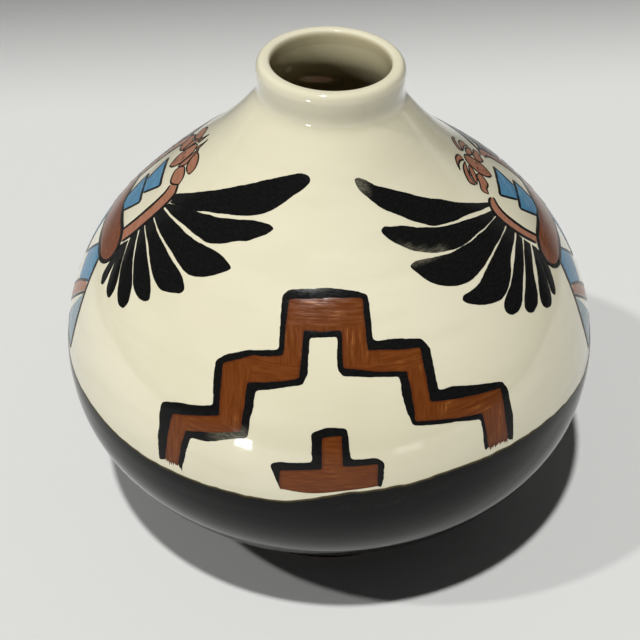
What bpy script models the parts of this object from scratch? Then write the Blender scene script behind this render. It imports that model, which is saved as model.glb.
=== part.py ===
"""Round-bellied painted pottery vase with a small rolled mouth.

The pot is turned about +Z and stands on the plane z = 0. Its clay wall is
built the way a sectional pot is built: a foot ring, a lower bowl, an upper
shell and a neck collar, joined with slip. Three coats of glaze cover the clay:
black below, cream above and over the lip, and a cream liner inside.

Every wall layer follows one side curve, the glazed outer surface, at its own
depth below it, so neighbours keep the same small gap all the way round.
"""

import math

import bmesh
import bpy
import numpy as np

# Driving dimensions, in millimetres.
MM = 0.001
HEIGHT = 187.0            # table to the crest of the lip
BELLY_RADIUS = 100.0      # widest point of the glazed surface
BELLY_HEIGHT = 72.0
MOUTH_RADIUS = 20.5       # clear radius inside the neck
NECK_RADIUS = 25.5
WALL = NECK_RADIUS - MOUTH_RADIUS
BAND_HEIGHT = 79.0        # where the black glaze meets the cream glaze
FOOT_RADIUS = 56.7
FOOT_INNER_RADIUS = 47.5
FOOT_HEIGHT = 6.7
GAP = 0.3                 # clearance between neighbouring pieces
GLAZE = 0.6               # thickness of a coat of glaze

# Height of the two slip joints in the clay wall.
SHELL_JOINT = 76.0
COLLAR_JOINT = 163.0

# Depths of the layers below the glazed outer surface.
CLAY_OUT = GLAZE + GAP
CLAY_IN = WALL - GLAZE - GAP
LINER_OUT = WALL - GLAZE

# Round pieces have this many facets, and a clay joint's edges this chamfer.
SEGMENTS = 36
CHAMFER = 0.5

# The side curve from the foot to the neck, as radius and height. A smooth
# curve runs through these points.
SIDE_POINTS = [
    (56.2, 7.0),
    (83.1, 32.0),
    (96.5, 52.0),
    (BELLY_RADIUS, BELLY_HEIGHT),
    (86.0, 112.0),
    (60.0, 138.5),
    (44.0, 152.2),
    (34.0, 162.7),
    (29.8, 168.0),
    (26.2, 175.0),
    (NECK_RADIUS, 183.0),
]
SIDE_SAMPLES = 22         # stretches in the sampled curve
BEND_SHARE = 30.0         # how much closer together they are where the side bends


def spline(points, count):
    """Points along a natural cubic spline, closer together where it bends."""
    knots = np.array(points, dtype=float)
    chord = np.linalg.norm(np.diff(knots, axis=0), axis=1)
    t = np.concatenate([[0.0], np.cumsum(chord)])
    n = len(t)
    step = np.diff(t)
    system = np.zeros((n, n))
    right = np.zeros((n, 2))
    system[0, 0] = system[-1, -1] = 1.0
    for i in range(1, n - 1):
        system[i, i - 1] = step[i - 1]
        system[i, i] = 2.0 * (step[i - 1] + step[i])
        system[i, i + 1] = step[i]
        rise = (knots[i + 1] - knots[i]) / step[i] - (knots[i] - knots[i - 1]) / step[i - 1]
        right[i] = 6.0 * rise
    bend = np.linalg.solve(system, right)

    def at(u):
        i = min(max(int(np.searchsorted(t, u)) - 1, 0), n - 2)
        before = u - t[i]
        after = t[i + 1] - u
        curve = (bend[i] * after**3 + bend[i + 1] * before**3) / (6.0 * step[i])
        left = (knots[i] / step[i] - bend[i] * step[i] / 6.0) * after
        return curve + left + (knots[i + 1] / step[i] - bend[i + 1] * step[i] / 6.0) * before

    fine = np.array([at(u) for u in np.linspace(0.0, t[-1], 1200)])
    run = np.diff(fine, axis=0)
    heading = np.unwrap(np.arctan2(run[:, 1], run[:, 0]))
    turning = np.abs(np.diff(heading, prepend=heading[0]))
    length = np.concatenate([[0.0], np.cumsum(np.linalg.norm(run, axis=1) + BEND_SHARE * turning)])
    wanted = np.linspace(0.0, length[-1], count + 1)
    radius = np.interp(wanted, length, fine[:, 0])
    height = np.interp(wanted, length, fine[:, 1])
    return np.stack([radius, height], axis=1)


def outward(curve):
    """Unit normals of a curve that runs up the outer side."""
    along = np.gradient(curve, axis=0)
    normal = np.stack([along[:, 1], -along[:, 0]], axis=1)
    return normal / np.linalg.norm(normal, axis=1)[:, None]


SIDE = spline(SIDE_POINTS, SIDE_SAMPLES)
NORMAL = outward(SIDE)
NORMAL[-1] = (1.0, 0.0)   # the neck ends upright, under the lip


def layer(depth, low=None, high=None):
    """The side curve moved inwards by depth, cut to the stretch between two
    heights that are measured on the outer surface."""
    moved = SIDE - depth * NORMAL
    heights = SIDE[:, 1]
    low = heights[0] if low is None else low
    high = heights[-1] if high is None else high
    inside = (heights > low + 1.5) & (heights < high - 1.5)
    ends = [[np.interp(h, heights, moved[:, k]) for k in (0, 1)] for h in (low, high)]
    return [tuple(ends[0]), *map(tuple, moved[inside]), tuple(ends[1])]


def arc(centre, radius, start, end, steps):
    """Points on a circle between two angles in degrees."""
    turns = np.radians(np.linspace(start, end, steps + 1))
    return [(centre[0] + radius * math.cos(a), centre[1] + radius * math.sin(a)) for a in turns]


def chamfered(outline, corners):
    """Cuts the named corners of a closed outline by CHAMFER."""
    result = []
    for i, point in enumerate(outline):
        if i not in corners:
            result.append(point)
            continue
        for other in (outline[i - 1], outline[(i + 1) % len(outline)]):
            reach = math.dist(point, other)
            share = min(CHAMFER / reach, 0.4)
            result.append(tuple(a + (b - a) * share for a, b in zip(point, other)))
    return result


def material(name, colour, roughness):
    """A plain, non-metallic Principled material."""
    made = bpy.data.materials.new(name)
    made.use_nodes = True
    shader = made.node_tree.nodes["Principled BSDF"]
    shader.inputs["Base Color"].default_value = (*colour, 1.0)
    shader.inputs["Roughness"].default_value = roughness
    shader.inputs["Metallic"].default_value = 0.0
    return made


def lathe(name, outline, finish):
    """Turns a closed outline about +Z. The outline runs anticlockwise as seen
    with the radius to the right and +Z up; a point on the axis is a pole."""
    mesh = bpy.data.meshes.new(name)
    shape = bmesh.new()
    rings = []
    for radius, height in outline:
        if radius < 1e-6:
            rings.append([shape.verts.new((0.0, 0.0, height * MM))])
            continue
        ring = []
        for k in range(SEGMENTS):
            turn = 2.0 * math.pi * k / SEGMENTS
            place = (radius * math.cos(turn) * MM, radius * math.sin(turn) * MM, height * MM)
            ring.append(shape.verts.new(place))
        rings.append(ring)
    for here, there in zip(rings, rings[1:] + rings[:1]):
        if len(here) == 1 and len(there) == 1:
            continue
        for k in range(SEGMENTS):
            nxt = (k + 1) % SEGMENTS
            if len(here) == 1:
                shape.faces.new((here[0], there[nxt], there[k]))
            elif len(there) == 1:
                shape.faces.new((here[k], here[nxt], there[0]))
            else:
                shape.faces.new((here[k], here[nxt], there[nxt], there[k]))
    shape.to_mesh(mesh)
    shape.free()
    mesh.shade_smooth()
    mesh.set_sharp_from_angle(angle=math.radians(35.0))
    mesh.materials.append(finish)
    piece = bpy.data.objects.new(name, mesh)
    bpy.context.scene.collection.objects.link(piece)
    return piece


def foot_ring(finish):
    """Bare clay ring under the bowl, with a flat rest face and eased edges."""
    top = FOOT_HEIGHT
    side = FOOT_RADIUS
    inner = FOOT_INNER_RADIUS
    outline = [
        (inner + 2.5, 0.0),
        (side - 1.4, 0.0),
        (side - 0.3, 0.5),
        (side, 1.6),
        (side - 1.2, top - 0.6),
        (side - 1.8, top),
        (inner + 0.6, top),
        (inner, top - 0.6),
        (inner + 1.2, 1.2),
    ]
    return lathe("foot_ring", outline, finish)


def lower_bowl(finish):
    """Clay bowl with a flat underside, up to the joint at the belly."""
    under = SIDE[0][1]
    outer = layer(CLAY_OUT, high=SHELL_JOINT)
    inner = layer(CLAY_IN, low=under + WALL, high=SHELL_JOINT)
    floor = inner[0][1] + 0.6
    outline = [(0.0, under), (outer[0][0] - 0.7, under), *outer, *reversed(inner)]
    outline.append((inner[0][0] - 6.0, floor - 2.4))
    outline.append((0.0, floor - 3.0))
    rim = 2 + len(outer)
    return lathe("lower_bowl", chamfered(outline, {rim - 1, rim}), finish)


def upper_shell(finish):
    """Clay shell from the belly joint up to the root of the neck."""
    outer = layer(CLAY_OUT, low=SHELL_JOINT + GAP, high=COLLAR_JOINT)
    inner = layer(CLAY_IN, low=SHELL_JOINT + GAP, high=COLLAR_JOINT)
    outline = [*outer, *reversed(inner)]
    count = len(outer)
    return lathe("upper_shell", chamfered(outline, {0, count - 1, count, len(outline) - 1}), finish)


def neck_collar(finish):
    """Clay neck with a rounded top that the glaze wraps over."""
    joint = COLLAR_JOINT + GAP
    outer = layer(CLAY_OUT, low=joint)
    inner = layer(CLAY_IN, low=joint)
    half = (CLAY_IN - CLAY_OUT) / 2.0
    middle = NECK_RADIUS - WALL / 2.0
    crown = arc((middle, outer[-1][1]), half, 0.0, 180.0, 6)
    outline = [*outer[:-1], *crown, *reversed(inner[:-1])]
    return lathe("neck_collar", chamfered(outline, {0, len(outline) - 1}), finish)


def black_glaze_coat(finish):
    """Black coat over the outside of the bowl, below the band line."""
    outer = layer(0.0, high=BAND_HEIGHT)
    inner = layer(GLAZE, high=BAND_HEIGHT)
    return lathe("black_glaze_coat", [*outer, *reversed(inner)], finish)


def cream_glaze_coat(finish):
    """Cream coat from the band line up to the crest and over the lip."""
    outer = layer(0.0, low=BAND_HEIGHT + GAP)
    inner = layer(GLAZE, low=BAND_HEIGHT + GAP)
    spring = SIDE[-1][1]
    half = WALL / 2.0
    middle = (NECK_RADIUS - half, spring)
    rise = (HEIGHT - spring) / half
    over = [(r, spring + (z - spring) * rise) for r, z in arc(middle, half, 0.0, 180.0, 8)]
    under = arc(middle, half - GLAZE, 180.0, 0.0, 6)
    outline = [*outer[:-1], *over, *under, *reversed(inner[:-1])]
    return lathe("cream_glaze_coat", outline, finish)


def liner_glaze_coat(finish):
    """Cream liner inside, from just under the lip down to the floor."""
    top = SIDE[-1][1] - GAP
    low = SIDE[0][1] + WALL
    outer = layer(LINER_OUT, low=low, high=top)
    inner = layer(WALL, low=low, high=top)
    floor = outer[0][1] + 0.6
    outline = [(0.0, floor - 2.6), (outer[0][0] - 6.0, floor - 2.0), *outer, *reversed(inner)]
    outline.append((inner[0][0] - 6.0, floor - 1.2))
    outline.append((0.0, floor - 1.8))
    return lathe("liner_glaze_coat", outline, finish)


def clear_scene():
    for old in list(bpy.data.objects):
        bpy.data.objects.remove(old, do_unlink=True)


def main():
    clear_scene()
    clay = material("fired_clay", (0.55, 0.41, 0.29), 0.85)
    black = material("black_glaze", (0.012, 0.012, 0.013), 0.12)
    cream = material("cream_glaze", (0.82, 0.77, 0.60), 0.15)
    liner = material("liner_glaze", (0.78, 0.73, 0.57), 0.2)
    foot_ring(clay)
    lower_bowl(clay)
    upper_shell(clay)
    neck_collar(clay)
    black_glaze_coat(black)
    cream_glaze_coat(cream)
    liner_glaze_coat(liner)


main()
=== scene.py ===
"""Looks of a painted pottery vase: two glazes, a glazed mouth, and enamel motifs.

Places on the pot are given as (azimuth, arc). The azimuth is in degrees from the
front, the -Y side, and grows towards +X. The arc is the length in millimetres
along the side, upwards from the widest ring. Lifts are in millimetres too.
"""

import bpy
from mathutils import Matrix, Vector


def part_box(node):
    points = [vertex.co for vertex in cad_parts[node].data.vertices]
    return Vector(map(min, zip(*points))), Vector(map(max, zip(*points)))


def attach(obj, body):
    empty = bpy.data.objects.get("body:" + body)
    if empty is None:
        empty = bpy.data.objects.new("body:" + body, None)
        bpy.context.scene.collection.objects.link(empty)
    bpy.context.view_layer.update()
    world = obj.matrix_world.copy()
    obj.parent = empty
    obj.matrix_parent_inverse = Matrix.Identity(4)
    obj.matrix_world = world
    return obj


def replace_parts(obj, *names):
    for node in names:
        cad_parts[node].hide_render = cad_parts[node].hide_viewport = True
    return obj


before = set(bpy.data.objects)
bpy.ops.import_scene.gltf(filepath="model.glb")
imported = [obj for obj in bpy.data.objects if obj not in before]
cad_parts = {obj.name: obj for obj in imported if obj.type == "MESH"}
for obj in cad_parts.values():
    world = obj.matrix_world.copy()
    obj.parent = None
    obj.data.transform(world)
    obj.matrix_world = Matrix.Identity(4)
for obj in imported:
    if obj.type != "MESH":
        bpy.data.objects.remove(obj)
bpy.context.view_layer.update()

import math

import bpy
import numpy as np
from mathutils import Matrix, Vector, noise
from mathutils.geometry import delaunay_2d_cdt

MM = 0.001
COLUMNS = 360             # facets round a coat of glaze
ROW = 1.1                 # height of a row of facets, in millimetres
WALL = 5.0                # clay and glazes together
COAT = 0.55               # thickness of a coat of glaze
THROAT = 0.9              # how far the cream of the lip runs on inside
LAP = 2.5                 # how far the cream runs on under the black
EDGE_RIDGE = 0.14         # how far the black stands proud along its edge
MOUTH_TILT = -0.024       # the top of the pot dips a little towards +X
TILT_LEVELS = (125.0, 150.0)    # the heights between which that tilt sets in
LIP_SWELL = 0.12          # how far the lip rolls out over the neck
NECK_WAIST = 0.80         # how far the neck is drawn in below the lip
NECK_LEVEL = 175.0        # height of the neck's narrowest ring
NECK_REACH = 4.2          # how far above and below it the waist fades
FOOT_WIDTH = 9.2          # breadth of the foot ring
PAINT_ROOT = 0.06         # how deep the underside of the enamel sits in the glaze
ARC_SCALE = 1.2           # millimetres in a degree, for laying out outlines

LIP_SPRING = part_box("liner_glaze_coat")[1][2] / MM + 0.3
LIP_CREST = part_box("cream_glaze_coat")[1][2] / MM
FOOT_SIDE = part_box("foot_ring")[1][0] / MM
FOOT_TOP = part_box("foot_ring")[1][2] / MM
FLOOR_LEVEL = FOOT_TOP + WALL + 0.4


# ---- the pot's side

def outer_points():
    """The glazed side as (radius, height), read off the two coats of the frame."""
    rows = []
    for node, kept in (("black_glaze_coat", slice(None, -1)), ("cream_glaze_coat", slice(1, None))):
        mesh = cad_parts[node].data
        found = {}
        for face in mesh.polygons:
            middle = Vector(face.center)
            radial = Vector((middle.x, middle.y, 0.0)).normalized()
            if face.normal.dot(radial) < 0.3:
                continue
            for index in face.vertices:
                point = mesh.vertices[index].co / MM
                if abs(point.y) < 0.01 and point.x > 0.0 and point.z < LIP_SPRING + 0.05:
                    level = round(point.z, 1)
                    if point.x > found.get(level, (0.0, 0.0))[0]:
                        found[level] = (point.x, point.z)
        rows += [found[level] for level in sorted(found)][kept]
    return np.array(rows)


def natural_spline(points, count):
    """Points spread evenly by length along a natural cubic spline."""
    chord = np.linalg.norm(np.diff(points, axis=0), axis=1)
    t = np.concatenate([[0.0], np.cumsum(chord)])
    n = len(t)
    step = np.diff(t)
    system = np.eye(n)
    right = np.zeros((n, 2))
    for i in range(1, n - 1):
        system[i, i - 1:i + 2] = (step[i - 1], 2.0 * (step[i - 1] + step[i]), step[i])
        rise = (points[i + 1] - points[i]) / step[i] - (points[i] - points[i - 1]) / step[i - 1]
        right[i] = 6.0 * rise
    bend = np.linalg.solve(system, right)
    u = np.linspace(0.0, t[-1], 4 * count)
    i = np.clip(np.searchsorted(t, u) - 1, 0, n - 2)
    before = (u - t[i])[:, None]
    after = (t[i + 1] - u)[:, None]
    width = step[i][:, None]
    fine = (bend[i] * after**3 + bend[i + 1] * before**3) / (6.0 * width)
    fine += (points[i] / width - bend[i] * width / 6.0) * after
    fine += (points[i + 1] / width - bend[i + 1] * width / 6.0) * before
    return evenly(fine, count)


def evenly(path, count):
    """The path again, as points spread evenly by length."""
    length = np.concatenate([[0.0], np.cumsum(np.linalg.norm(np.diff(path, axis=0), axis=1))])
    wanted = np.linspace(0.0, length[-1], count + 1)
    return np.stack([np.interp(wanted, length, path[:, k]) for k in range(path.shape[1])], axis=1)


SIDE = natural_spline(outer_points(), 800)
ALONG = np.gradient(SIDE, axis=0)
LEAN = np.stack([ALONG[:, 1], -ALONG[:, 0]], axis=1) / np.linalg.norm(ALONG, axis=1)[:, None]
SIDE_ARC = np.concatenate([[0.0], np.cumsum(np.linalg.norm(np.diff(SIDE, axis=0), axis=1))])
SIDE_ARC -= SIDE_ARC[np.argmax(SIDE[:, 0])]
ARC_LOW = SIDE_ARC[0]
ARC_HIGH = SIDE_ARC[-1]


def ease(low, high, value):
    """0 below low, 1 above high, and smooth in between."""
    t = np.clip((np.asarray(value, dtype=float) - low) / (high - low), 0.0, 1.0)
    return t * t * (3.0 - 2.0 * t)


def bulge(azimuth, arc):
    """How far the hand-made side stands out from a true turned one."""
    turn = np.radians(azimuth)
    wave = np.sin(2.0 * turn + 0.7) + 0.6 * np.sin(3.0 * turn + arc / 31.0)
    wave = wave + 0.4 * np.sin(5.0 * turn - arc / 17.0)
    fade = ease(ARC_LOW, ARC_LOW + 25.0, arc) * (1.0 - ease(ARC_HIGH - 20.0, ARC_HIGH, arc))
    return 0.08 * (2.0 + wave) * fade


def roll(arc):
    """How far the side swells out under the lip, less how far the neck is drawn in."""
    height = np.interp(arc, SIDE_ARC, SIDE[:, 1])
    swell = LIP_SWELL * ease(LIP_SPRING - 6.0, LIP_SPRING, height)
    return swell - NECK_WAIST * np.exp(-((height - NECK_LEVEL) / NECK_REACH) ** 2)


def place(azimuth, arc, lift=0.0):
    """Points in metres at a place on the side, lifted square off it."""
    azimuth, arc, lift = np.broadcast_arrays(*(np.asarray(v, dtype=float) for v in (azimuth, arc, lift)))
    out = lift + bulge(azimuth, arc) + roll(arc)
    radius = np.interp(arc, SIDE_ARC, SIDE[:, 0]) + out * np.interp(arc, SIDE_ARC, LEAN[:, 0])
    height = np.interp(arc, SIDE_ARC, SIDE[:, 1]) + out * np.interp(arc, SIDE_ARC, LEAN[:, 1])
    return turned(azimuth, radius, height)


def turned(azimuth, radius, height):
    """Points in metres at an azimuth, a radius and a height, with the tilt of the top."""
    turn = np.radians(azimuth)
    x = radius * np.sin(turn)
    tilt = MOUTH_TILT * x * ease(*TILT_LEVELS, height)
    return np.stack([x, -radius * np.cos(turn), height + tilt], axis=-1) * MM


def degree_length(arc):
    """Millimetres on the surface in one degree of azimuth."""
    return np.interp(arc, SIDE_ARC, SIDE[:, 0]) * math.pi / 180.0


# ---- meshes

def object_from(name, verts, faces):
    """A new object in the scene, with a mesh of its own."""
    mesh = bpy.data.meshes.new(name)
    mesh.from_pydata([tuple(v) for v in verts], [], faces)
    made = bpy.data.objects.new(name, mesh)
    bpy.context.scene.collection.objects.link(made)
    return made


def piece_from(name, verts, faces, finish, attributes=None):
    """A smooth-shaded piece that rides on the pot."""
    piece = object_from(name, verts, faces)
    mesh = piece.data
    mesh.materials.append(finish)
    for key, values in (attributes or {}).items():
        kind = "FLOAT_VECTOR" if np.ndim(values) == 2 else "FLOAT"
        layer = mesh.attributes.new(key, kind, "POINT")
        layer.data.foreach_set("vector" if kind == "FLOAT_VECTOR" else "value", np.ravel(values))
    mesh.validate()
    mesh.shade_smooth()
    mesh.set_sharp_from_angle(angle=math.radians(50.0))
    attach(piece, "root")
    return piece


def closed_lathe(name, rows, finish, attributes=None):
    """A closed ring-shaped piece. Each row is one ring of COLUMNS points, and the
    last row joins the first. Seen in section the rows run anticlockwise."""
    count = len(rows)
    verts = np.concatenate(rows)
    faces = []
    for i in range(count):
        here = i * COLUMNS
        there = (i + 1) % count * COLUMNS
        for k in range(COLUMNS):
            after = (k + 1) % COLUMNS
            faces.append((here + k, here + after, there + after, there + k))
    return piece_from(name, verts, faces, finish, attributes)


AZIMUTHS = np.arange(COLUMNS) * 360.0 / COLUMNS - 180.0


def rings(radii, heights):
    """One level ring of points for each radius and height."""
    return [turned(AZIMUTHS, r, z) for r, z in zip(radii, heights)]


# ---- outlines

def flow(points, step=0.8):
    """A smooth curve through (azimuth, arc) points, by centripetal Catmull-Rom."""
    points = np.array(points, dtype=float)
    if len(points) == 2:
        points = np.array([points[0], points.mean(axis=0), points[1]])
    scale = (ARC_SCALE, 1.0)
    p = points * scale
    p = np.vstack([2.0 * p[0] - p[1], p, 2.0 * p[-1] - p[-2]])
    out = [p[1]]
    for a, b, c, d in zip(p, p[1:], p[2:], p[3:]):
        ta, tb, tc = (max(math.dist(u, v), 1e-3) ** 0.5 for u, v in ((a, b), (b, c), (c, d)))
        t0, t1, t2, t3 = 0.0, ta, ta + tb, ta + tb + tc
        pieces = max(1, round(math.dist(b, c) / step))
        for t in np.linspace(t1, t2, pieces + 1)[1:]:
            ab = a * (t1 - t) / (t1 - t0) + b * (t - t0) / (t1 - t0)
            bc = b * (t2 - t) / (t2 - t1) + c * (t - t1) / (t2 - t1)
            cd = c * (t3 - t) / (t3 - t2) + d * (t - t2) / (t3 - t2)
            abc = ab * (t2 - t) / (t2 - t0) + bc * (t - t0) / (t2 - t0)
            bcd = bc * (t3 - t) / (t3 - t1) + cd * (t - t1) / (t3 - t1)
            out.append(abc * (t2 - t) / (t2 - t1) + bcd * (t - t1) / (t2 - t1))
    return np.array(out) / scale


def steps(points, ease_length=1.2, step=0.5):
    """A path of straight strokes through the points, with its corners eased."""
    points = np.array(points, dtype=float) * (ARC_SCALE, 1.0)
    length = sum(math.dist(a, b) for a, b in zip(points, points[1:]))
    path = evenly(points, round(length / step))
    reach = max(1, round(ease_length / step))
    kernel = np.ones(2 * reach + 1) / (2 * reach + 1)
    padded = np.vstack([np.repeat(path[:1], reach, axis=0), path, np.repeat(path[-1:], reach, axis=0)])
    soft = np.stack([np.convolve(padded[:, k], kernel, mode="valid") for k in (0, 1)], axis=1)
    soft[0] = path[0]
    soft[-1] = path[-1]
    return soft / (ARC_SCALE, 1.0)


def waver(path, amount=0.22, pitch=5.0, seed=0.0):
    """The unsteady hand: the path's points shifted by a smooth noise."""
    path = np.array(path, dtype=float)
    for point in path:
        x = point[0] * ARC_SCALE / pitch
        y = point[1] / pitch
        point[0] += amount * noise.noise(Vector((x, y, seed))) / ARC_SCALE
        point[1] += amount * noise.noise(Vector((x, y, seed + 7.3)))
        point[0] += 0.4 * amount * noise.noise(Vector((4.0 * x, 4.0 * y, seed))) / ARC_SCALE
        point[1] += 0.4 * amount * noise.noise(Vector((4.0 * x, 4.0 * y, seed + 3.1)))
    return path


def bristles(start, end, depth, count, seed):
    """The ragged end of a dry brush stroke, from one corner to the other."""
    rng = np.random.default_rng(seed)
    start, end = np.array(start, dtype=float), np.array(end, dtype=float)
    path = [start]
    for k in range(count):
        for share, reach in ((0.25, rng.uniform(0.3, 1.0)), (0.75, rng.uniform(0.0, 0.35))):
            point = start + (end - start) * (k + share) / count
            point[1] -= depth * reach
            path.append(point)
    path.append(end)
    return np.array(path)


def closed(*runs):
    """One closed outline from runs of points, without doubled points."""
    points = np.vstack([np.array(run, dtype=float) for run in runs])
    gap = np.linalg.norm((points - np.roll(points, 1, axis=0)) * (ARC_SCALE, 1.0), axis=1)
    return points[gap > 0.12]


def leaf(first, second):
    """A closed outline of two smooth edges that share their ends."""
    return closed(flow(first), flow(second)[1:-1])


def stroke(path, widths, taper=0.25):
    """The outline of a brush line along a path, with one width or one per end."""
    path = flow(path)
    scale = np.stack([degree_length(path[:, 1]), np.ones(len(path))], axis=1)
    along = np.gradient(path, axis=0) * scale
    along /= np.linalg.norm(along, axis=1)[:, None]
    across = np.stack([-along[:, 1], along[:, 0]], axis=1) / scale
    share = np.linspace(0.0, 1.0, len(path))
    widths = np.atleast_1d(widths)
    width = np.interp(share, np.linspace(0.0, 1.0, len(widths)), widths)
    ends = np.minimum(1.0, np.minimum(share, 1.0 - share) / 0.06)
    half = 0.5 * width * (taper + (1.0 - taper) * np.sqrt(ends))
    left = path + across * half[:, None]
    right = path - across * half[:, None]
    return closed(left, right[::-1])


def mirrored(outline, axis):
    """The outline seen in a mirror that stands at an azimuth."""
    flipped = np.array(outline, dtype=float)[::-1].copy()
    flipped[:, 0] = 2.0 * axis - flipped[:, 0]
    return flipped


# ---- enamel patches

def inside(points, ring):
    """Which points lie inside the closed ring."""
    a = ring
    b = np.roll(ring, -1, axis=0)
    x, y = points[:, :1], points[:, 1:]
    spans = (a[:, 1] > y) != (b[:, 1] > y)
    rise = np.where(b[:, 1] == a[:, 1], 1e-9, b[:, 1] - a[:, 1])
    cross = a[:, 0] + (y - a[:, 1]) / rise * (b[:, 0] - a[:, 0])
    return (spans & (x < cross)).sum(axis=1) % 2 == 1


def edge_distance(points, ring):
    """Each point's distance to the closed ring."""
    a = ring
    ab = np.roll(ring, -1, axis=0) - a
    size = np.maximum((ab**2).sum(axis=1), 1e-12)
    best = np.full(len(points), 1e9)
    for start in range(0, len(points), 2000):
        part = points[start:start + 2000]
        t = (((part[:, None] - a) * ab).sum(axis=2) / size).clip(0.0, 1.0)
        near = a + t[..., None] * ab
        best[start:start + 2000] = np.linalg.norm(part[:, None] - near, axis=2).min(axis=1)
    return best


def split_long(ring, longest=1.5):
    """The closed ring with points added along its long edges, so that it bends with the side."""
    points = []
    for start, end in zip(ring, np.roll(ring, -1, axis=0)):
        count = max(1, math.ceil(math.dist(start, end) / longest))
        points += [start + (end - start) * k / count for k in range(count)]
    return np.array(points)


def fill(outline, grain):
    """Flat points and triangles that fill a closed outline."""
    ring = split_long(np.array(outline) * (ARC_SCALE, 1.0))
    low, high = ring.min(axis=0), ring.max(axis=0)
    rows = np.arange(low[1], high[1], grain * 0.87)
    columns = np.arange(low[0], high[0], grain)
    grid = np.array([(x + (i % 2) * grain / 2.0, y) for i, y in enumerate(rows) for x in columns])
    if len(grid):
        grid = grid[inside(grid, ring)]
    if len(grid):
        grid = grid[edge_distance(grid, ring) > 0.4 * min(grain, 1.5)]
    points = [Vector(p) for p in (np.vstack([ring, grid]) if len(grid) else ring)]
    edges = [(i, (i + 1) % len(ring)) for i in range(len(ring))]
    found = delaunay_2d_cdt(points, edges, [], 1, 1e-5)
    flat = np.array([tuple(p) for p in found[0]])
    triangles = []
    for a, b, c in found[2]:
        ab, ac = flat[b] - flat[a], flat[c] - flat[a]
        triangles.append((a, b, c) if ab[0] * ac[1] - ab[1] * ac[0] > 0.0 else (a, c, b))
    return flat, triangles, edge_distance(flat, ring)


def enamel(name, outlines, finish, lift=0.16, grain=2.0, extra=None):
    """Thin raised paint on the glaze: one closed skin for each outline. Its material
    reads spread, the place laid flat, rim, the distance to the edge, and note."""
    verts, faces = [], []
    spread, edges, notes = [], [], []
    start = 0
    for outline in outlines:
        flat, triangles, distance = fill(outline, grain)
        azimuth, arc = (flat / (ARC_SCALE, 1.0)).T
        raised = lift * (0.5 + 0.5 * ease(0.0, 0.7, distance))
        count = len(flat)
        verts += [place(azimuth, arc, raised), place(azimuth, arc, -PAINT_ROOT)]
        used = {}
        for a, b, c in triangles:
            faces.append((start + a, start + b, start + c))
            faces.append((start + count + a, start + count + c, start + count + b))
            for edge in ((a, b), (b, c), (c, a)):
                used[edge] = True
        for a, b in used:
            if (b, a) not in used:
                faces.append((start + b, start + a, start + count + a, start + count + b))
        laid_flat = np.column_stack([azimuth * degree_length(arc), arc, np.zeros(count)])
        note = extra(azimuth, arc) if extra else np.zeros(count)
        spread += [laid_flat, laid_flat]
        edges += [distance, distance]
        notes += [note, note]
        start += 2 * count
    attributes = {
        "spread": np.concatenate(spread),
        "rim": np.concatenate(edges),
        "note": np.concatenate(notes),
    }
    return piece_from(name, np.concatenate(verts), faces, finish, attributes)


# ---- materials

class Finish:
    """A Principled material and short calls for the nodes before it."""

    def __init__(self, name, slot, colour, roughness, coat=0.0):
        self.material = bpy.data.materials.new(name)
        self.material.use_nodes = True
        self.material["slot"] = slot
        self.tree = self.material.node_tree
        self.shader = self.tree.nodes["Principled BSDF"]
        values = {"Base Color": (*colour, 1.0), "Roughness": roughness, "Metallic": 0.0,
                  "Coat Weight": coat, "Coat Roughness": 0.03}
        for key, value in values.items():
            self.put(self.shader, key, value)
        self.where = self.node("ShaderNodeTexCoord").outputs["Object"]

    def put(self, node, key, value):
        if hasattr(value, "is_output"):
            self.tree.links.new(value, node.inputs[key])
        else:
            node.inputs[key].default_value = value

    def node(self, kind, inputs=None, **settings):
        """A new node with its settings, and its inputs by name or number."""
        made = self.tree.nodes.new(kind)
        for key, value in settings.items():
            setattr(made, key, value)
        for key, value in (inputs or {}).items():
            self.put(made, key, value)
        return made

    def noise(self, scale, detail=3.0, rough=0.5, at=None, distortion=0.0):
        inputs = {"Vector": at or self.where, "Scale": scale, "Detail": detail, "Roughness": rough}
        inputs["Distortion"] = distortion
        return self.node("ShaderNodeTexNoise", inputs).outputs["Fac"]

    def stretched(self, at, scale):
        return self.node("ShaderNodeMapping", {"Vector": at, "Scale": scale}).outputs["Vector"]

    def attribute(self, name, output="Fac"):
        return self.node("ShaderNodeAttribute", attribute_name=name).outputs[output]

    def band(self, value, low, high, start=0.0, end=1.0):
        """start below low, end above high, smooth in between."""
        inputs = {"Value": value, "From Min": low, "From Max": high, "To Min": start, "To Max": end}
        return self.node("ShaderNodeMapRange", inputs, interpolation_type="SMOOTHSTEP").outputs["Result"]

    def mix(self, share, first, second):
        colours = [c if hasattr(c, "is_output") else (*c, 1.0) for c in (first, second)]
        inputs = {0: share, 6: colours[0], 7: colours[1]}
        return self.node("ShaderNodeMix", inputs, data_type="RGBA").outputs[2]

    def maths(self, operation, first, second):
        return self.node("ShaderNodeMath", {0: first, 1: second}, operation=operation).outputs[0]

    def specks(self, scale, size, share):
        """Scattered dots: the share of the cells that hold one, and their size."""
        cells = self.node("ShaderNodeTexVoronoi", {"Vector": self.where, "Scale": scale})
        dot = self.band(cells.outputs["Distance"], size * 0.5, size, 1.0, 0.0)
        red = self.node("ShaderNodeSeparateColor", {0: cells.outputs["Color"]}).outputs[0]
        return self.maths("MULTIPLY", dot, self.maths("LESS_THAN", red, share))

    def colour(self, value):
        self.put(self.shader, "Base Color", value)

    def rough(self, value):
        self.put(self.shader, "Roughness", value)

    def bump(self, height, distance, strength):
        inputs = {"Height": height, "Distance": distance, "Strength": strength}
        self.put(self.shader, "Normal", self.node("ShaderNodeBump", inputs).outputs["Normal"])


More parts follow.
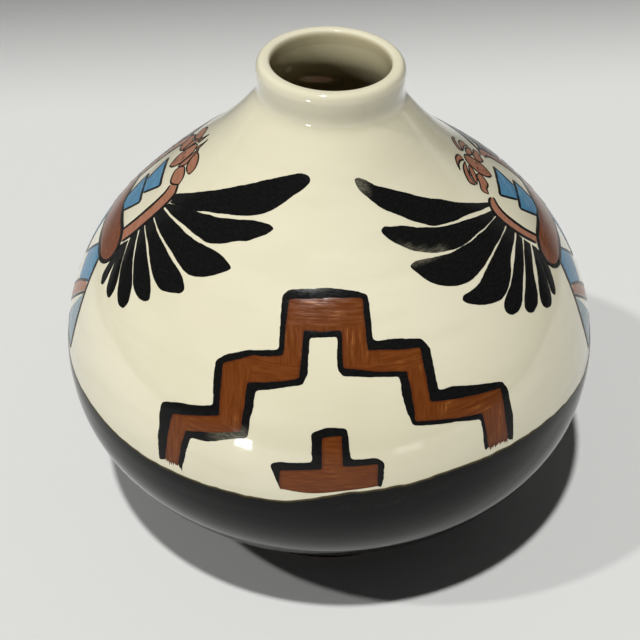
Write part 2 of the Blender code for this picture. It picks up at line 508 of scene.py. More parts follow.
def cream_glaze(name, slot, pale, warm, floor=None):
    """Glossy cream glaze: cloudy colour, pinholes, faint iron specks. Given a floor colour,
    it darkens to that colour towards the bottom inside, as painted shade."""
    finish = Finish(name, slot, pale, 0.09, coat=0.6)
    clouds = finish.band(finish.noise(14.0, 3.0), 0.35, 0.7)
    tone = finish.mix(clouds, pale, warm)
    streaks = finish.noise(26.0, 3.0, 0.5, at=finish.stretched(finish.where, (1.0, 1.0, 6.0)))
    tone = finish.mix(finish.band(streaks, 0.4, 0.75, 0.0, 0.35), tone, tuple(0.93 * c for c in warm))
    # painted shade: the inner side of the lip and the mouth take the darker olive of the inside
    tone = finish.mix(finish.attribute("inside"), tone, (0.70, 0.62, 0.385))
    iron = finish.specks(190.0, 0.055, 0.035)
    tone = finish.mix(finish.maths("MULTIPLY", iron, 0.7), tone, (0.22, 0.13, 0.06))
    dust = finish.specks(420.0, 0.10, 0.03)
    tone = finish.mix(finish.maths("MULTIPLY", dust, 0.35), tone, (0.40, 0.30, 0.18))
    # painted shade: below 45 mm inside, the colour turns to the floor's dark brown, fully so below 20 mm
    if floor:
        height = finish.node("ShaderNodeSeparateXYZ", {0: finish.where}).outputs[2]
        tone = finish.mix(finish.band(height, 0.020, 0.045, 1.0, 0.0), tone, floor)
    finish.colour(tone)
    finish.rough(finish.band(finish.noise(45.0, 4.0), 0.3, 0.75, 0.06, 0.12))
    skin = finish.noise(45.0, 2.0)
    pits = finish.specks(260.0, 0.07, 0.05)
    height = finish.maths("SUBTRACT", finish.maths("MULTIPLY", skin, 0.5), pits)
    finish.bump(height, 0.00006, 0.4)
    return finish.material


def black_glaze():
    """Glossy black glaze, thin and olive along its upper edge."""
    finish = Finish("black_glaze_gloss", "black_glaze", (0.010, 0.010, 0.011), 0.10)
    clouds = finish.band(finish.noise(30.0, 5.0, 0.6), 0.35, 0.75)
    tone = finish.mix(clouds, (0.004, 0.0044, 0.0046), (0.008, 0.008, 0.008))
    rim = finish.attribute("rim")
    frayed = finish.maths("ADD", rim, finish.maths("MULTIPLY", finish.noise(260.0, 3.0), 0.9))
    thin = finish.band(frayed, 0.5, 1.5, 1.0, 0.0)
    tone = finish.mix(finish.maths("MULTIPLY", thin, 0.85), tone, (0.10, 0.080, 0.034))
    finish.colour(tone)
    finish.put(finish.shader, "Specular IOR Level", 0.15)
    finish.rough(finish.band(finish.noise(55.0, 4.0), 0.3, 0.75, 0.07, 0.13))
    streaks = finish.noise(60.0, 4.0, 0.6, at=finish.stretched(finish.where, (1.0, 1.0, 5.0)))
    finish.bump(streaks, 0.0002, 0.25)
    return finish.material


def fired_clay():
    """Bare pinkish-buff clay with grit and a fine bumpy grain."""
    finish = Finish("bare_clay", "fired_clay", (0.50, 0.36, 0.25), 0.85)
    clouds = finish.band(finish.noise(40.0, 5.0, 0.6), 0.3, 0.7)
    tone = finish.mix(clouds, (0.54, 0.40, 0.28), (0.42, 0.29, 0.19))
    tone = finish.mix(finish.specks(700.0, 0.22, 0.12), tone, (0.20, 0.12, 0.08))
    finish.colour(tone)
    finish.rough(finish.band(finish.noise(120.0, 4.0), 0.3, 0.7, 0.75, 0.95))
    finish.bump(finish.noise(900.0, 4.0, 0.7), 0.00025, 0.6)
    return finish.material


def brushed(name, slot, thick, thin, bright, gloss=0.25, upright=0.5, pool=None):
    """Enamel laid on with a brush. Streaks follow the stroke: upright is the share
    that runs up the pot, and note adds to it on the patch itself."""
    finish = Finish(name, slot, thick, 0.2)
    finish.put(finish.shader, "Specular IOR Level", gloss)
    spread = finish.attribute("spread", "Vector")
    level = finish.noise(1.0, 4.0, 0.65, at=finish.stretched(spread, (0.11, 0.95, 1.0)), distortion=0.2)
    rising = finish.noise(1.0, 4.0, 0.65, at=finish.stretched(spread, (0.95, 0.11, 1.0)), distortion=0.2)
    turn = finish.maths("ADD", finish.attribute("note"), upright)
    streaks = finish.node("ShaderNodeMix", {0: turn, 2: level, 3: rising}, data_type="FLOAT").outputs[0]
    blot = finish.noise(0.09, 3.0, 0.5, at=spread)
    tone = finish.mix(finish.band(streaks, 0.36, 0.62), thick, thin)
    gleam = finish.maths("MULTIPLY", finish.band(streaks, 0.50, 0.70), finish.band(blot, 0.50, 0.66))
    tone = finish.mix(finish.maths("MULTIPLY", gleam, 0.8), tone, bright)
    if pool:
        edge = finish.band(finish.attribute("rim"), 0.1, 1.0, 0.55, 0.0)
        tone = finish.mix(edge, tone, pool)
    finish.colour(tone)
    finish.rough(finish.band(streaks, 0.3, 0.7, 0.13, 0.26))
    finish.bump(streaks, 0.00012, 0.35)
    return finish.material


def black_enamel():
    """Black line enamel, with a dry greenish-grey patch where note says so."""
    finish = Finish("black_enamel_line", "black_enamel", (0.006, 0.006, 0.006), 0.18)
    finish.put(finish.shader, "Specular IOR Level", 0.15)
    spread = finish.attribute("spread", "Vector")
    streaks = finish.noise(1.0, 4.0, 0.65, at=finish.stretched(spread, (0.5, 1.4, 1.0)), distortion=0.3)
    tone = finish.mix(finish.band(streaks, 0.35, 0.7), (0.005, 0.005, 0.005), (0.009, 0.009, 0.0085))
    dry = finish.maths("MULTIPLY", finish.attribute("note"), finish.band(streaks, 0.40, 0.60, 0.35, 1.0))
    tone = finish.mix(dry, tone, (0.16, 0.15, 0.105))
    finish.colour(tone)
    finish.rough(finish.band(streaks, 0.3, 0.7, 0.13, 0.22))
    finish.bump(streaks, 0.00003, 0.2)
    return finish.material


CREAM = cream_glaze("cream_glaze_gloss", "cream_glaze", (0.80, 0.755, 0.565), (0.755, 0.705, 0.51))
# The liner is coloured a darker olive than the cream outside, as painted shade of the inside, and its floor
# colour is painted shade too.
LINER = cream_glaze("liner_glaze_gloss", "liner_glaze", (0.76, 0.69, 0.44), (0.70, 0.62, 0.37),
                    floor=(0.20, 0.11, 0.065))
BLACK = black_glaze()
CLAY = fired_clay()
LINE = black_enamel()
RUST = brushed("rust_enamel_brushed", "rust_enamel", (0.125, 0.032, 0.006), (0.170, 0.047, 0.009),
               (0.36, 0.125, 0.025), pool=(0.085, 0.018, 0.005))
BROWN = brushed("rust_enamel_dark", "rust_enamel", (0.13, 0.033, 0.009), (0.19, 0.050, 0.012),
                (0.28, 0.095, 0.022), gloss=0.7)
FLESH = brushed("flesh_enamel_brushed", "flesh_enamel", (0.30, 0.120, 0.066), (0.38, 0.17, 0.10),
                (0.52, 0.31, 0.21))
BLUE = brushed("blue_enamel_brushed", "blue_enamel", (0.055, 0.175, 0.30), (0.10, 0.27, 0.41),
               (0.26, 0.45, 0.55))
SLATE = brushed("blue_enamel_thin", "blue_enamel", (0.17, 0.26, 0.32), (0.30, 0.38, 0.41),
                (0.50, 0.54, 0.50))


# ---- glaze coats

# Where the black ends and the cream starts, round the pot.
BAND_EDGE = [
    (-180.0, 7.0), (-150.0, 6.4), (-120.0, 7.6), (-95.0, 7.0), (-70.0, 6.1), (-60.0, 6.4), (-40.0, 4.6),
    (-24.0, 5.0), (-10.0, 5.1), (-5.0, 6.5), (0.0, 8.8), (3.0, 10.0), (18.0, 11.0), (24.0, 12.1),
    (40.0, 11.4), (50.0, 10.2), (60.0, 8.4), (70.0, 6.0), (95.0, 6.6), (130.0, 8.2), (160.0, 8.0),
    (180.0, 7.0),
]


def band_edge(azimuth):
    """The arc of the edge between the glazes, with the unsteady line of a brush."""
    around = np.arange(-200.0, 200.5, 0.5)
    points = np.array(BAND_EDGE)
    height = np.interp((around + 180.0) % 360.0 - 180.0, points[:, 0], points[:, 1])
    height = np.convolve(height, np.ones(7) / 7.0, mode="same")
    drawn = np.interp(azimuth, around, height)
    ragged = []
    for a in np.atleast_1d(azimuth):
        slow = noise.noise(Vector((a * 0.35, 2.0, 0.0)))
        quick = noise.noise(Vector((a * 1.3, 5.0, 0.0)))
        ragged.append(0.45 * slow + 0.25 * quick)
    return drawn + np.array(ragged)


def lip_ring(middle, half, rise, turn):
    """One ring of the lip, at an angle from its outer side. Its inner edge is tighter."""
    across, up = math.cos(turn), math.sin(turn)
    power = 0.85 if across > 0.0 else 0.5
    across = math.copysign(abs(across) ** power, across)
    up = up ** power
    return turned(AZIMUTHS, middle + half * across, LIP_SPRING + rise * up)


def cream_coat():
    """Cream glaze from the band up, over the lip and a little way into the mouth."""
    edge = band_edge(AZIMUTHS) - LAP

    def side(count, lift):
        shares = np.linspace(0.0, 1.0, count)
        return [place(AZIMUTHS, edge + share * (ARC_HIGH - edge), lift) for share in shares]

    outer = side(round((ARC_HIGH - 8.0) / ROW), 0.0)
    under = side(40, -COAT)
    bore = SIDE[-1, 0] - WALL
    half = (WALL + LIP_SWELL) / 2.0
    rise = LIP_CREST - LIP_SPRING
    lip = []
    # shade: how far each row takes the painted shade of the inside, from the lip's inner side on
    shade = [0.0] * len(outer)
    for turn in np.radians(np.linspace(0.0, 180.0, 33))[1:]:
        lip.append(lip_ring(bore + half, half, rise, turn))
        shade.append(float(ease(2.1, 2.9, turn)))
    inside_arcs = np.linspace(ARC_HIGH - 0.3, ARC_HIGH - THROAT, 3)
    lip += rings(*sunk(inside_arcs, WALL))
    inner = rings(*sunk(inside_arcs[::-1], WALL - COAT))
    for turn in np.radians(np.linspace(180.0, 0.0, 17))[:-1]:
        inner.append(lip_ring(bore + half, half - COAT, rise - COAT, turn))
    rows = outer + lip + inner + under[::-1]
    shade += [1.0] * (len(outer) + len(lip) + len(inner) - len(shade))
    shade += [0.0] * len(under)
    return closed_lathe("cream_coat", rows, CREAM, {"inside": np.repeat(shade, COLUMNS)})


def black_coat():
    """Black glaze from the foot up. Its edge is a low ridge that laps on the cream."""
    edge = band_edge(AZIMUTHS)
    rows, depths = [], []
    count = round((edge.mean() - ARC_LOW) / ROW)
    shares = np.concatenate([np.linspace(0.0, 0.96, count), [0.975, 0.988, 0.996, 1.0]])
    for share in shares:
        arc = ARC_LOW + share * (edge - ARC_LOW)
        below = edge - arc
        lift = EDGE_RIDGE * (1.0 - ease(3.5, 9.0, below)) * np.sqrt(ease(-0.25, 0.5, below))
        rows.append(place(AZIMUTHS, arc, lift))
        depths.append(below)
    for share in np.linspace(1.0, 0.0, 30):
        arc = ARC_LOW + share * (edge - ARC_LOW)
        below = edge - arc
        lift = -COAT * ease(LAP, LAP + 3.0, below) - 0.03
        rows.append(place(AZIMUTHS, arc, lift))
        depths.append(below)
    return closed_lathe("black_coat", rows, BLACK, {"rim": np.concatenate(depths)})


def sunk(arcs, depth):
    """Radii and heights at a depth below the side, without its bulge."""
    radius = np.interp(arcs, SIDE_ARC, SIDE[:, 0]) - depth * np.interp(arcs, SIDE_ARC, LEAN[:, 0])
    height = np.interp(arcs, SIDE_ARC, SIDE[:, 1]) - depth * np.interp(arcs, SIDE_ARC, LEAN[:, 1])
    return radius, height


def floor_rings(radius, height, dip):
    """Rings from the wall to the middle of a floor that sinks a little."""
    shares = (0.93, 0.82, 0.65, 0.45, 0.25, 0.01)
    return [turned(AZIMUTHS, radius * share, height - dip * (1.0 - share**2) - 0.5) for share in shares]


def liner_coat():
    """Cream glaze inside, from under the lip down to the floor."""
    low = np.interp(FLOOR_LEVEL, SIDE[:, 1], SIDE_ARC)
    arcs = np.linspace(low, ARC_HIGH - THROAT + 0.4, 130)
    radius, height = sunk(arcs, WALL - COAT)
    rows = floor_rings(radius[0], height[0] - 0.3, 1.8)[::-1]
    rows += rings(radius, height)
    radius, height = sunk(arcs, WALL - 0.02)
    rows += rings(radius[::-1], height[::-1])
    rows += floor_rings(radius[0], height[0] + 0.1, 1.4)
    return closed_lathe("liner_coat", rows, LINER)


def clay_section(node):
    """One thrown section of the clay wall, between the coats."""
    low, high = (corner[2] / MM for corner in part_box(node))
    floor = low < FOOT_TOP + 1.0
    start = ARC_LOW if floor else np.interp(low, SIDE[:, 1], SIDE_ARC)
    end = np.interp(high, SIDE[:, 1], SIDE_ARC)
    arcs = np.linspace(start, end, 60)
    rows = [place(AZIMUTHS, arc, -0.8) for arc in arcs]
    inner = arcs[arcs > np.interp(FLOOR_LEVEL, SIDE[:, 1], SIDE_ARC)]
    radius, height = sunk(inner, WALL - 0.8)
    rows += rings(radius[::-1], height[::-1])
    if floor:
        rows += floor_rings(radius[0], height[0] - 0.9, 2.0)
        rows += [turned(AZIMUTHS, r, low) for r in (0.5, 30.0, SIDE[0, 0] - 2.0)]
    return closed_lathe(f"clay_{node}", rows, CLAY)


def foot():
    """Foot ring of bare clay, with eased edges and a flat rest face."""
    outer = FOOT_SIDE
    inner = outer - FOOT_WIDTH
    top = FOOT_TOP
    section = [
        (outer - 1.7, 0.0), (outer - 0.7, 0.15), (outer - 0.15, 0.7), (outer, 1.6), (outer - 0.2, 3.2),
        (outer - 0.8, 5.2), (outer - 1.6, top - 0.2), (outer - 2.2, top + 0.15),
        (inner + 1.0, top + 0.15), (inner + 0.2, top - 0.4), (inner, top - 1.2),
        (inner + 0.3, 3.0), (inner + 1.0, 1.2), (inner + 1.8, 0.3), (inner + 2.7, 0.0),
    ]
    return closed_lathe("foot", rings(*zip(*section)), CLAY)


def foot_glaze():
    """The black glaze that ran down the outer side of the foot."""
    side = [(1.2, 0.0), (1.9, 0.0), (3.2, 0.2), (5.2, 0.8), (FOOT_TOP, 1.5)]
    rows = [turned(AZIMUTHS, FOOT_SIDE - inset + 0.10, height) for height, inset in side]
    rows += [turned(AZIMUTHS, FOOT_SIDE - inset - 0.15, height + 0.1) for height, inset in side[::-1]]
    return closed_lathe("foot_glaze", rows, BLACK, {"rim": np.full(len(rows) * COLUMNS, 30.0)})


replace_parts(cream_coat(), "cream_glaze_coat")
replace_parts(black_coat(), "black_glaze_coat")
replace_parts(liner_coat(), "liner_glaze_coat")
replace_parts(foot(), "foot_ring")
foot_glaze()
for node in ("lower_bowl", "upper_shell", "neck_collar"):
    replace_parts(clay_section(node), node)


# ---- stepped motif

# The far edges of the black lines (STEP) and of the rust between them (RUST). Each
# runs from the left foot over the top to the right foot.
STEP_OUTER = [
    (-35.3, 7.6), (-36.7, 27.9), (-36.3, 29.4), (-24.6, 34.7), (-26.6, 49.6), (-24.0, 52.8), (-19.8, 55.4),
    (-12.0, 57.5), (-13.6, 75.7), (-11.4, 77.6), (0.0, 79.2), (7.8, 77.9), (11.3, 76.2), (10.9, 60.9),
    (15.6, 60.6), (23.1, 58.8), (24.6, 55.2), (24.0, 40.8), (28.2, 40.4), (34.8, 37.3), (39.9, 35.1),
    (40.5, 32.2), (40.5, 22.7), (39.4, 13.2),
]
STEP_INNER = [
    (-29.7, 7.2), (-28.3, 21.2), (-25.5, 21.5), (-16.2, 27.0), (-15.8, 43.2), (-5.7, 47.0), (-4.8, 50.4),
    (-4.8, 62.3), (2.1, 62.8), (1.9, 52.3), (3.0, 50.2), (9.0, 49.2), (15.9, 48.3), (16.1, 38.0),
    (17.4, 31.3), (20.4, 30.3), (26.4, 28.9), (32.4, 26.3), (32.3, 14.6),
]
RUST_OUTER = [
    (-33.7, 9.0), (-33.4, 26.5), (-22.8, 32.2), (-24.6, 49.4), (-18.0, 54.2), (-10.8, 55.6), (-11.4, 74.3),
    (0.0, 75.7), (9.6, 75.2), (9.3, 58.0), (22.2, 56.1), (21.7, 38.0), (38.7, 33.2), (38.2, 14.4),
]
RUST_INNER = [
    (-30.6, 8.9), (-29.7, 22.7), (-17.7, 28.4), (-18.0, 45.1), (-6.6, 48.9), (-6.3, 64.7), (3.3, 64.7),
    (3.3, 52.8), (18.0, 49.4), (18.0, 32.7), (33.0, 27.9), (33.3, 15.2),
]


def step_band():
    """Rust stepped band and its two black outlines, as outlines on the front."""
    rust_out = waver(steps(RUST_OUTER, 0.6), 0.3, seed=1.0)
    rust_in = waver(steps(RUST_INNER, 0.6), 0.3, seed=2.0)
    line_out = waver(steps(STEP_OUTER), 0.35, seed=3.0)
    line_in = waver(steps(STEP_INNER), 0.35, seed=4.0)
    right = bristles(rust_out[-1], rust_in[-1], 1.9, 8, 5)
    left = bristles(rust_out[0], rust_in[0], 2.2, 7, 6)
    rust = closed(rust_out, right[1:-1], rust_in[::-1], left[::-1][1:-1])
    outer = closed(
        line_out,
        bristles(line_out[-1], rust_out[-1], 0.7, 2, 7)[1:-1],
        rust_out[::-1],
        bristles(rust_out[0], line_out[0], 1.2, 2, 8)[1:-1],
    )
    inner = closed(
        line_in[::-1],
        bristles(line_in[0], rust_in[0], 0.9, 2, 9)[1:-1],
        rust_in,
        bristles(rust_in[-1], line_in[-1], 0.7, 2, 10)[1:-1],
    )
    return rust, outer, inner


def small_block():
    """Rust block in the band's middle, with black along its sides and top."""
    line = steps([
        (-9.0, 9.6), (-11.4, 18.9), (-9.9, 20.3), (-3.0, 21.2), (-3.5, 31.6), (0.0, 33.5), (3.9, 33.2),
        (4.4, 22.4), (9.6, 22.4), (11.1, 19.8), (10.9, 15.0), (10.1, 11.2),
    ])
    top = steps([
        (-9.1, 10.3), (-9.4, 17.4), (-1.2, 18.9), (-1.3, 29.8), (2.7, 30.8), (2.9, 19.8), (9.7, 19.8),
        (9.6, 11.6),
    ], 0.6)
    top = waver(top, 0.25, seed=11.0)
    bottom = flow([(9.6, 11.6), (3.6, 10.7), (-3.6, 9.5), (-9.1, 10.3)])
    rust = closed(top, bottom[1:-1])
    black = closed(waver(line, 0.3, seed=12.0), top[::-1])
    return rust, black


def rising(azimuth, arc):
    """0.5 on the risers of the stepped band, where the strokes run up, and -0.5 on its treads."""
    off_middle = np.abs((azimuth + 180.0) % 360.0 - 180.0)
    risers = (off_middle > 29.5) & (arc < 28.0)
    risers |= (off_middle > 17.3) & (off_middle < 25.0) & (arc > 30.0) & (arc < 50.0)
    risers |= (off_middle < 12.0) & (arc > 53.0) & (arc < 66.0)
    return np.where(risers, 0.5, -0.5)


def dry_patch(azimuth, arc):
    """The part of the inner line where the brush ran dry."""
    azimuth = (azimuth + 180.0) % 360.0 - 180.0
    along = ease(-25.5, -22.5, azimuth) * (1.0 - ease(-17.0, -15.5, azimuth))
    return 0.75 * along * ease(22.5, 24.0, arc) * (1.0 - ease(29.0, 31.5, arc))


def turned_to_back(outline):
    """The same outline on the back of the pot."""
    moved = np.array(outline, dtype=float)
    moved[:, 0] += 180.0
    return moved


rust_band, outer_line, inner_line = step_band()
rust_block, block_line = small_block()
for side, move in (("front", np.array), ("back", turned_to_back)):
    rusts = [move(rust_band), move(rust_block)]
    outlines = [move(outer_line), move(inner_line), move(block_line)]
    enamel(f"{side}_step_rust", rusts, RUST, lift=0.08, grain=1.6, extra=rising)
    enamel(f"{side}_step_lines", outlines, LINE, lift=0.12, grain=1.6, extra=dry_patch)

# Black brushed a second time along the band, below the small block and to its right.
second_brush = leaf(
    [(-1.5, 6.5), (3.0, 8.6), (12.0, 9.3), (22.0, 10.2), (30.0, 9.7), (33.0, 8.8)],
    [(33.0, 8.8), (27.0, 6.8), (20.0, 4.6), (10.0, 2.6), (4.0, 2.4), (-1.5, 6.5)],
)
enamel("band_second_brush", [waver(second_brush, 0.5, seed=13.0)], LINE, lift=0.22, grain=2.5)


# ---- wings

# Each feather is its upper edge, out to the tip, and its lower edge, back to the root.
LEFT_WING = [
    ([(-73.1, 86.8), (-61.2, 95.8), (-50.6, 102.6), (-41.6, 107.4), (-32.2, 111.7), (-23.3, 114.6),
      (-15.0, 116.5), (-11.2, 115.5), (-10.5, 114.0)],
     [(-11.9, 112.5), (-18.5, 107.9), (-23.3, 103.7), (-28.2, 100.5), (-38.1, 96.3), (-48.1, 93.4),
      (-58.7, 88.7), (-71.7, 83.3)]),
    ([(-71.8, 82.8), (-65.9, 85.9), (-53.3, 90.4), (-43.4, 93.3), (-36.0, 95.6), (-28.6, 97.1),
      (-24.1, 97.2), (-22.3, 96.2)],
     [(-24.2, 93.9), (-30.2, 89.8), (-34.6, 87.9), (-39.8, 85.0), (-45.0, 83.3), (-56.2, 83.0),
      (-72.2, 80.8)]),
    ([(-72.3, 80.2), (-60.1, 81.5), (-50.1, 81.8), (-40.1, 82.2), (-35.8, 81.7), (-32.6, 80.2),
      (-31.9, 79.2)],
     [(-35.4, 75.6), (-38.5, 73.1), (-42.1, 71.7), (-45.7, 71.2), (-53.1, 73.3), (-63.5, 74.7),
      (-72.9, 75.8)]),
    ([(-72.9, 75.1), (-65.9, 74.3), (-57.8, 73.0), (-50.7, 71.4), (-46.2, 69.5), (-43.6, 67.3),
      (-42.9, 66.0)],
     [(-43.4, 64.6), (-46.1, 62.9), (-49.6, 61.6), (-54.2, 62.8), (-58.7, 65.4), (-63.8, 68.3),
      (-73.2, 71.3)]),
    ([(-73.2, 70.9), (-68.2, 69.3), (-63.0, 67.0), (-58.7, 64.6), (-54.6, 61.3), (-52.2, 58.3),
      (-51.5, 56.3)],
     [(-52.8, 54.7), (-54.7, 54.1), (-57.5, 54.9), (-60.6, 57.1), (-66.0, 62.1), (-73.3, 68.6)]),
    ([(-73.3, 67.6), (-68.1, 63.2), (-63.3, 59.0), (-59.5, 55.3), (-57.7, 51.8), (-57.3, 48.9)],
     [(-58.0, 47.0), (-59.7, 46.9), (-62.2, 48.6), (-66.6, 54.1), (-74.5, 64.2)]),
    ([(-73.8, 62.7), (-68.2, 55.6), (-65.1, 50.8), (-64.2, 47.5), (-64.3, 45.2)],
     [(-65.4, 44.5), (-67.4, 45.9), (-69.7, 49.9), (-74.9, 60.2)]),
    ([(-74.6, 60.7), (-72.2, 55.0), (-70.6, 50.2), (-70.0, 47.1), (-70.2, 45.0)],
     [(-71.2, 44.5), (-72.7, 46.3), (-73.8, 50.7), (-75.4, 58.3)]),
]
RIGHT_WING = [
    ([(74.8, 84.3), (65.4, 90.9), (53.4, 98.8), (42.6, 104.2), (32.8, 108.9), (23.4, 112.2), (17.4, 114.9),
      (14.3, 115.4), (13.1, 114.6)],
     [(14.2, 112.2), (18.2, 108.5), (23.3, 104.3), (28.7, 101.3), (38.0, 95.2), (42.8, 92.7), (50.1, 90.8),
      (60.5, 88.5), (74.9, 82.7)]),
    ([(73.4, 81.7), (61.0, 86.7), (47.6, 90.6), (39.7, 93.2), (29.3, 96.8), (24.6, 97.6), (21.9, 97.8),
      (20.5, 96.4)],
     [(22.3, 93.7), (27.8, 89.2), (35.5, 85.0), (45.9, 82.3), (61.4, 81.4), (73.5, 79.9)]),
    ([(73.0, 79.4), (61.5, 80.8), (51.1, 81.5), (40.7, 82.2), (32.5, 83.6), (28.6, 83.8), (27.0, 82.7)],
     [(28.5, 79.8), (30.6, 76.3), (33.6, 73.4), (38.3, 71.1), (42.8, 70.1), (47.4, 70.8), (56.3, 73.3),
      (71.4, 75.3)]),
    ([(71.7, 74.6), (61.4, 73.6), (53.1, 71.4), (45.8, 68.1), (41.7, 67.1), (39.0, 67.1), (38.1, 66.1)],
     [(39.1, 64.0), (43.0, 61.2), (48.5, 59.0), (52.0, 59.8), (56.2, 62.1), (61.6, 66.9), (71.5, 70.5)]),
    ([(71.7, 69.9), (64.2, 66.7), (58.9, 63.5), (54.6, 60.6), (50.9, 58.5), (49.0, 56.6), (48.7, 54.4)],
     [(49.9, 52.5), (52.3, 52.0), (54.5, 53.0), (57.5, 56.1), (62.9, 60.7), (72.1, 67.1)]),
    ([(72.3, 66.4), (66.0, 62.4), (60.7, 57.6), (56.6, 53.8), (54.9, 51.2), (55.2, 48.9)],
     [(56.9, 47.7), (59.2, 48.3), (61.5, 50.6), (65.2, 56.2), (73.1, 63.2)]),
    ([(73.2, 62.2), (68.4, 57.5), (64.7, 53.3), (61.9, 49.4), (61.0, 46.8)],
     [(61.9, 44.6), (63.7, 43.8), (65.8, 45.3), (68.1, 49.4), (74.1, 59.8)]),
    ([(74.1, 59.3), (70.9, 54.5), (68.3, 49.3), (67.1, 46.1), (67.6, 44.3)],
     [(69.0, 44.9), (71.5, 48.8), (74.8, 55.9)]),
]


def feathers(wing, seed):
    """The feathers of one wing as closed outlines."""
    made = []
    for k, (upper, lower) in enumerate(wing):
        round_the_tip = flow(upper + lower[:2])[:-2]
        rim = closed(round_the_tip, flow(lower))
        made.append(waver(rim, 0.3, pitch=6.0, seed=seed + k))
    return made


def thin_tips(azimuth, arc):
    """Where the black of the right wing's long feathers was brushed thin."""
    tip = (1.0 - ease(16.5, 22.0, azimuth)) * ease(108.0, 111.0, arc)
    under = ease(24.0, 30.0, azimuth) * (1.0 - ease(40.0, 44.0, azimuth)) * ease(82.0, 84.0, arc)
    low_edge = np.interp(azimuth, (22.8, 27.7, 35.0, 45.0), (93.9, 89.1, 84.8, 82.1))
    strip = under * (1.0 - ease(0.8, 2.2, arc - low_edge))
    mask = (azimuth > 10.0) & (azimuth < 46.0)
    return np.where(mask, 0.85 * np.maximum(tip, strip), 0.0)


# The azimuths of the two dancers.
LEFT_AXIS = -94.0
RIGHT_AXIS = 92.0


def far_wing(wing, axis):
    """The hidden wing: a mirror image that hangs lower, the more so towards its tips."""
    made = []
    for feather in wing:
        flipped = mirrored(feather, axis)
        beyond = np.maximum(np.abs(flipped[:, 0] - axis) - 19.0, 0.0)
        flipped[:, 0] -= 0.16 * beyond * np.sign(flipped[:, 0] - axis)
        flipped[:, 1] -= 0.55 * beyond
        made.append(flipped)
    return made


left_feathers = feathers(LEFT_WING, 20.0)
right_feathers = feathers(RIGHT_WING, 40.0)
enamel("left_wing_front", left_feathers, LINE, grain=2.6)
enamel("left_wing_back", far_wing(left_feathers, LEFT_AXIS), LINE, grain=2.6)
enamel("right_wing_front", right_feathers, LINE, grain=2.6, extra=thin_tips)
enamel("right_wing_back", far_wing(right_feathers, RIGHT_AXIS), LINE, grain=2.6)


# ---- dancers

